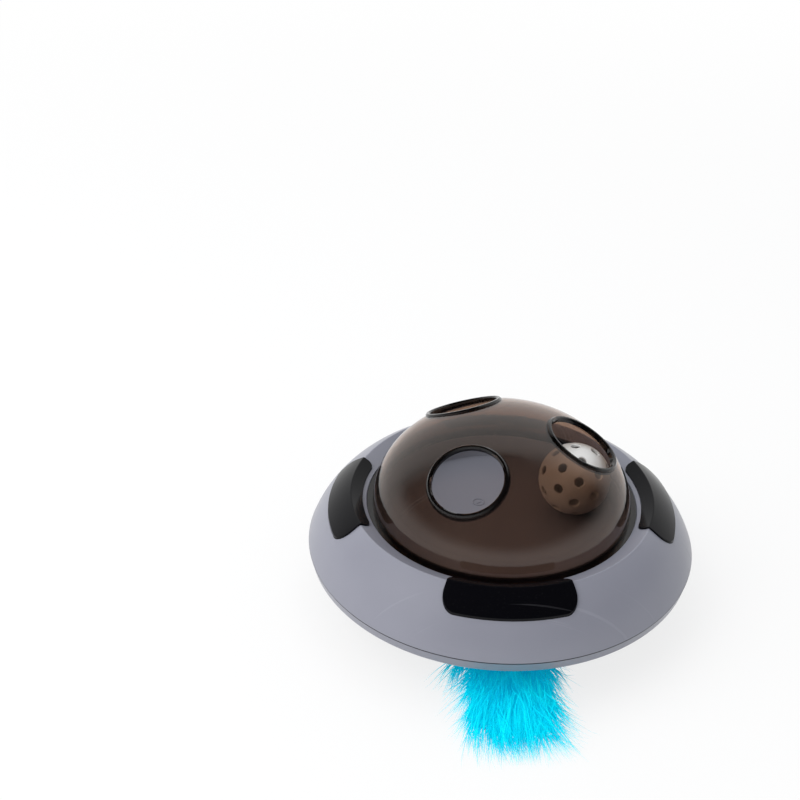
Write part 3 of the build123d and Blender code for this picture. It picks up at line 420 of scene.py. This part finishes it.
# %% [markdown]
# The pieces from here on are modelled as by hand, with Blender's own operators. An operator acts on all
# that is selected, so a few helpers select just what is meant, put a finished piece's place into its
# mesh, and apply a modifier straight away, so that what is kept is plain geometry.

# %% Helpers for modelling by hand
def start_clean():
    if bpy.context.object and bpy.context.object.mode != "OBJECT":
        bpy.ops.object.mode_set(mode="OBJECT")
    bpy.ops.object.select_all(action="DESELECT")


def pick(*objects):
    start_clean()
    for item in objects:
        item.select_set(True)
    bpy.context.view_layer.objects.active = objects[-1]


def settle(item):
    """Put a piece's place into its mesh, so that its object sits at the origin."""
    pick(item)
    bpy.ops.object.transform_apply(location=True, rotation=True, scale=True)


def finish_modifier(item, kind, **settings):
    pick(item)
    modifier = item.modifiers.new(kind.lower(), kind)
    for key, value in settings.items():
        setattr(modifier, key, value)
    bpy.ops.object.modifier_apply(modifier=modifier.name)


print("helpers ready:", "start_clean, pick, settle and finish_modifier")

# %% [markdown]
# The ball is a thin white shell with rings of holes, as a practice golf ball has. Its holes have soft
# rounded rims, as moulded plastic has. A straight drill would leave sharp rims, so the cutter here is
# turned from a profile that flares like a trumpet: cut with it, the rim is round from the start. One
# cutter is spun, copied to every hole's place, and taken away from a hollow sphere.

# %% Profile of the hole cutter
ball_low, ball_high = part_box("play_ball")
ball_centre = (ball_low + ball_high) / 2
ball_radius = (ball_high.z - ball_low.z) / 2
ball_wall, ball_hole, rim_round = 1.6 * MM, 3.0 * MM, 0.8 * MM
ball_rings = [(90, 1), (54, 6), (18, 10)]
ball_turn = Matrix.Rotation(radians(62), 3, "X") @ Matrix.Rotation(radians(20), 3, "Z")
profile = [(ball_hole, ball_radius - 3 * ball_wall), (ball_hole, ball_radius - rim_round)]
rim_steps = 6
for step in range(1, rim_steps + 1):
    angle = pi / 2 * step / rim_steps
    reach = ball_hole + rim_round * (1 - cos(angle))
    profile.append((reach, sqrt(ball_radius**2 - reach**2) - rim_round * (1 - sin(angle))))
profile.append((profile[-1][0] + 0.4 * MM, ball_radius + ball_wall))
print("profile points:", len(profile))

# %% Spin the cutter
cutter_mesh = bpy.data.meshes.new("cutter")
cutter_mesh.from_pydata([(r, 0, z) for r, z in profile], [(i, i + 1) for i in range(len(profile) - 1)], [])
cutter = bpy.data.objects.new("cutter", cutter_mesh)
bpy.context.scene.collection.objects.link(cutter)
pick(cutter)
bpy.ops.object.mode_set(mode="EDIT")
bpy.ops.mesh.select_all(action="SELECT")
bpy.ops.mesh.spin(steps=24, angle=2 * pi, center=(0, 0, 0), axis=(0, 0, 1))
bpy.ops.mesh.select_all(action="SELECT")
bpy.ops.mesh.remove_doubles(threshold=0.01 * MM)
bpy.ops.mesh.select_all(action="DESELECT")
bpy.ops.mesh.select_non_manifold()
bpy.ops.mesh.edge_face_add()
bpy.ops.mesh.select_all(action="SELECT")
bpy.ops.mesh.normals_make_consistent(inside=False)
bpy.ops.object.mode_set(mode="OBJECT")
print("cutter faces:", len(cutter_mesh.polygons))

# %% Copy the cutter to every hole and cut the ball
cutters = []
for side in (1, -1):
    for level, holes in ball_rings:
        for hole in range(holes):
            turn = 2 * pi * hole / holes
            ring, rise = cos(radians(level)), side * sin(radians(level))
            way = ball_turn @ Vector((ring * cos(turn), ring * sin(turn), rise))
            copy = cutter.copy()
            copy.data = cutter.data.copy()
            lean = way.to_track_quat("Z", "Y").to_matrix().to_4x4()
            copy.matrix_world = Matrix.Translation(ball_centre) @ lean
            bpy.context.scene.collection.objects.link(copy)
            cutters.append(copy)
bpy.data.objects.remove(cutter)
pick(*cutters)
bpy.ops.object.join()
cutters = bpy.context.object
start_clean()
bpy.ops.mesh.primitive_ico_sphere_add(subdivisions=5, radius=ball_radius, location=ball_centre)
ball = bpy.context.object
ball.name = "perforated_ball"
finish_modifier(ball, "SOLIDIFY", thickness=ball_wall, offset=-1)
finish_modifier(ball, "BOOLEAN", operation="DIFFERENCE", object=cutters, solver="EXACT")
bpy.data.objects.remove(cutters)
settle(ball)
bpy.ops.object.shade_smooth_by_angle(angle=radians(35))
print("ball faces:", len(ball.data.polygons))

# %% White plastic of the ball
ball_plastic = Finish("ball_plastic", IOR=1.5)
smudge = ball_plastic.noise(120, 3.0)
fine = ball_plastic.noise(1900, 2.0)
ball_plastic.feed(
    Base_Color=ball_plastic.mix(smudge, (0.74, 0.73, 0.71), (0.84, 0.84, 0.83)),
    Roughness=0.36 + (smudge - 0.5) * 0.16,
)
ball_plastic.bump(fine + smudge * 2, 0.2, 0.06 * MM)
ball.data.materials.clear()
ball.data.materials.append(ball_plastic.material)
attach(ball, "ball")
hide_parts("play_ball")
dress(ball_plastic, "play_ball")
print("white plastic on", ball.name)

# %% [markdown]
# The feather is dyed marabou: a short quill with thousands of barbs that spread, droop under their own
# weight and end in wisps. Particle hair would do for a picture but isn't kept by an exported model, so
# each barb is a narrow ribbon, drawn in code along a path that fans out and sinks to the floor. Down
# clings together in locks, so the barbs are laid lock by lock: short fluffy ones in the middle, and long
# ones that reach out and curl to one side. The see-through wisps come from the finish: fine lines along
# the ribbon fade out towards its tip and edges. Down also lets light through from behind, which a ribbon
# with no thickness doesn't, so a faint glow of its own colour stands in for that.

# %% One barb
plume_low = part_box("feather_plume")[0]
feather_angle = radians(-86.9)
way_out = Vector((cos(feather_angle), sin(feather_angle), 0))
way_side = Vector((-way_out.y, way_out.x, 0))
straws = Random(7)
barb_steps = 7
ribbon_points, ribbon_faces, ribbon_uvs = [], [], []


def lay_barb(root, heading, climb, length, droop, curl, width, floor_level):
    """One ribbon from its root, curving down to the floor; heading is its angle from the way out."""
    point = root.copy()
    first = len(ribbon_points)
    roll = straws.uniform(-0.9, 0.9)
    for step in range(barb_steps + 1):
        share = step / barb_steps
        turn = heading + curl * share
        rise = climb - droop * share
        flat = way_out * cos(turn) + way_side * sin(turn)
        ahead = flat * cos(rise) + Vector((0, 0, sin(rise)))
        if step:
            point = point + ahead * (length / barb_steps)
        if point.z < floor_level:
            point.z = floor_level + 0.15 * MM * straws.random()
        across = ahead.cross(Vector((0, 0, 1)))
        if across.length < 0.01:
            across = way_side.copy()
        across = across.normalized()
        across = (across * cos(roll) + ahead.cross(across) * sin(roll)).normalized()
        half = width / 2 * (1 - 0.75 * share**2)
        for edge in (-1, 1):
            corner = point + across * half * edge
            corner.z = max(corner.z, floor_level)
            ribbon_points.append(corner)
            ribbon_uvs.append((0.5 + edge / 2, share))
        if step:
            last = first + 2 * step
            ribbon_faces.append((last - 2, last - 1, last + 1, last))


print("steps along a barb:", barb_steps)

# %% One lock of barbs
reach_limit = axis_place.y - plume_low.y


def lay_lock(reach, side_shift, height, heading, length, curl, barbs, spread):
    """A tuft of barbs that lie together, as down clings in locks, with a little play between them."""
    for barb in range(barbs):
        barb_reach = (reach + straws.gauss(0, 3 * spread)) * MM
        barb_side = (side_shift + straws.gauss(0, 2.4 * spread)) * MM
        barb_height = max(2.5, height + straws.gauss(0, 2)) * MM
        root = axis_place + way_out * barb_reach + way_side * barb_side + Vector((0, 0, barb_height))
        turn = heading + straws.gauss(0, 0.09 * spread)
        reach_left = (reach_limit - barb_reach) / max(0.35, cos(turn))
        lay_barb(
            root,
            turn,
            straws.uniform(-0.4, 0.25),
            min(length * MM * straws.uniform(0.55, 1.0), reach_left),
            straws.uniform(0.25, 0.75),
            curl + straws.gauss(0, 0.12 * spread),
            straws.uniform(0.3, 0.62) * MM,
            straws.uniform(1.0, 2.4) * MM,
        )


print("barbs reach to about", round(reach_limit / MM, 1), "mm from the axis")

# %% Lay all the locks
fluff_locks, fluff_barbs, fluff_near, fluff_far = 380, 14, 84, 124
long_locks, long_barbs, long_near, long_far = 210, 20, 96, 132
fluff_narrowing = 0.4 / 40


def limited(value, low, high):
    return max(low, min(high, value))


for lock in range(fluff_locks):
    reach = straws.uniform(fluff_near, fluff_far)
    side_shift = limited(straws.gauss(-4, 14), -32, 22) * (1 - fluff_narrowing * (reach - fluff_near))
    heading = limited(straws.gauss(-0.05, 0.3) + side_shift / 46, -1.05, 0.6)
    height, length, curl = straws.uniform(4, 17), straws.uniform(16, 32), straws.gauss(0.1, 0.4)
    lay_lock(reach, side_shift, height, heading, length, curl, fluff_barbs, spread=1.0)
for lock in range(long_locks):
    reach = straws.uniform(long_near, long_far)
    side_shift = limited(straws.gauss(-4, 11), -24, 17)
    heading = limited(straws.gauss(-0.12, 0.28) + side_shift / 58, -0.9, 0.42)
    length = straws.uniform(32, 58) * (1 - 0.35 * abs(heading))
    height, curl = straws.uniform(4, 14), straws.gauss(0.28, 0.33)
    lay_lock(reach, side_shift, height, heading, length, curl, long_barbs, spread=0.85)
print("barbs laid:", fluff_locks * fluff_barbs + long_locks * long_barbs)

# %% Mesh of the down
plume_mesh = bpy.data.meshes.new("down")
plume_mesh.from_pydata(ribbon_points, [], ribbon_faces)
plume_uv = plume_mesh.uv_layers.new(name="along_barb")
for loop in plume_mesh.loops:
    plume_uv.data[loop.index].uv = ribbon_uvs[loop.vertex_index]
for face in plume_mesh.polygons:
    face.use_smooth = True
plume = bpy.data.objects.new("marabou_down", plume_mesh)
bpy.context.scene.collection.objects.link(plume)
print("faces of the down:", len(plume_mesh.polygons))

# %% Finish of the down and the quill
down = Finish("down", IOR=1.2, Roughness=0.85, Emission_Color=(0.0, 0.52, 0.7), Emission_Strength=0.16)
barb_place = down.node("ShaderNodeUVMap", {"uv_map": "along_barb"})
across_barb = down.along("X", barb_place)
along_barb = down.along("Y", barb_place)
paleness = down.between(down.noise(55, 3.0) + along_barb * 0.35, 0.3, 0.85)
lines = down.noise(1.0, 2.0, down.stretched((900, 900, 900)))
from_edge = 1 - abs(across_barb * 2 - 1)
solid = down.between(from_edge * 0.7 + (lines - 0.5) * 0.7 + 0.9 - along_barb, 0.2, 0.75)
down.feed(Base_Color=down.mix(paleness, (0.0, 0.58, 0.8), (0.0, 0.8, 0.92)), Alpha=solid)
plume.data.materials.append(down.material)
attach(plume, "feather_rotor")
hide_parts("feather_plume")
dress(down, "feather_plume")

quill = Finish("quill", IOR=1.5)
streaks = quill.noise(1.0, 2.0, quill.stretched((300, 60, 60)))
quill.feed(
    Base_Color=quill.mix(streaks, (0.05, 0.42, 0.55), (0.3, 0.62, 0.7)),
    Roughness=0.4 + streaks * 0.15,
)
dress(quill, "feather_quill")
print("down and quill finished, and the down rides with the feather")

# %% [markdown]
# The toy stands on a plain white floor. For the camera, and in mirrors and glass, the floor glows almost
# white, so that the background is as clean as in a catalogue picture, but part of its own shading is
# kept near the toy, so that its soft shadow still ties it to the ground. Far away nothing is kept, so
# that no horizon shows.


# %% Floor
def lay_floor():
    start_clean()
    bpy.ops.mesh.primitive_plane_add(size=8, location=(0, 0, 0))
    floor = bpy.context.object
    floor.name = "floor"
    paper = Finish("floor_paper", Base_Color=(0.82, 0.82, 0.82), Roughness=0.9)
    white = paper.node("ShaderNodeEmission", values={"Color": (1, 1, 1), "Strength": 1.0})
    shade_share, shade_until, shade_gone = 0.22, 0.35, 1.6
    far = paper.between(paper.length(paper.place()), shade_until, shade_gone)
    whiteness = 1 - shade_share * (1 - far)
    paper.show(paper.mix_shaders(paper.in_view() * whiteness, paper.shader, white))
    floor.data.materials.append(paper.material)
    floor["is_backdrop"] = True


lay_floor()
print("floor laid, white far away and shaded near the toy")

# %% [markdown]
# The light is soft studio light: an even pale glow from all round, and two very large panels that add
# direction. What stands behind the toy is set apart from that glow, and is the same for the camera, in
# mirrors and through glass: a white room with a dim ceiling. Its wall is taller behind the toy, which
# the dome shows as the pale sweep over its top, and the front pad stays black because it faces the
# ceiling. The panels are kept out of mirrors, because the real dome shows no lamp.

# %% World and lamps
world = bpy.data.worlds.new("studio")
bpy.context.scene.world = world
world.use_nodes = True
sky = ShaderTree(world.node_tree, "World Output")


def glow(colour, strength):
    return sky.node("ShaderNodeBackground", values={"Color": colour, "Strength": strength})


direction = sky.node("ShaderNodeTexCoord", result="Generated")
upward = sky.along("Z", direction)
backward = sky.along("Y", direction)
low_wall = 1 - sky.between(upward, 0.04, 0.42)
tall_wall = sky.between(backward, 0.25, 0.6) * (1 - sky.between(upward, 0.86, 0.92))
wall = 1 - (1 - low_wall) * (1 - tall_wall)
room = sky.mix_shaders(wall, glow((1, 1, 1), 0.05), glow((1, 1, 1), 1.0))
even_light = glow((0.96, 0.98, 1.0), 0.65)
sky.show(sky.mix_shaders(sky.in_view(), even_light, room))
toy_middle = Vector((0, 0, 60 * MM))


def panel(name, place, size, power, colour=(1, 1, 1)):
    """A soft square lamp that faces the toy."""
    lamp = bpy.data.lights.new(name, "AREA")
    lamp.size = size
    lamp.energy = power
    lamp.color = colour
    lamp_object = bpy.data.objects.new(name, lamp)
    lamp_object.location = axis_place + Vector(place)
    towards = toy_middle - Vector(place)
    lamp_object.rotation_euler = towards.to_track_quat("-Z", "Y").to_euler()
    lamp_object.visible_glossy = False
    lamp_object.visible_transmission = False
    bpy.context.scene.collection.objects.link(lamp_object)


panel("key_panel", (-1.6, -0.6, 1.5), 2.2, 37, (1, 0.985, 0.975))
panel("top_panel", (-0.2, 0.5, 2.0), 2.0, 13)
bpy.context.scene.view_settings.view_transform = "Standard"
print("world and two panels lit")

# %% [markdown]
# Last, the sizes before and after are written down, so that what the down adds past the frame can be
# told.

# %% Sizes and close
shown_box = [list(corner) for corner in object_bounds()]
for name, corners in (("frame", cad_box), ("shown", shown_box)):
    print(name, [[round(1000 * part, 1) for part in corner] for corner in corners])
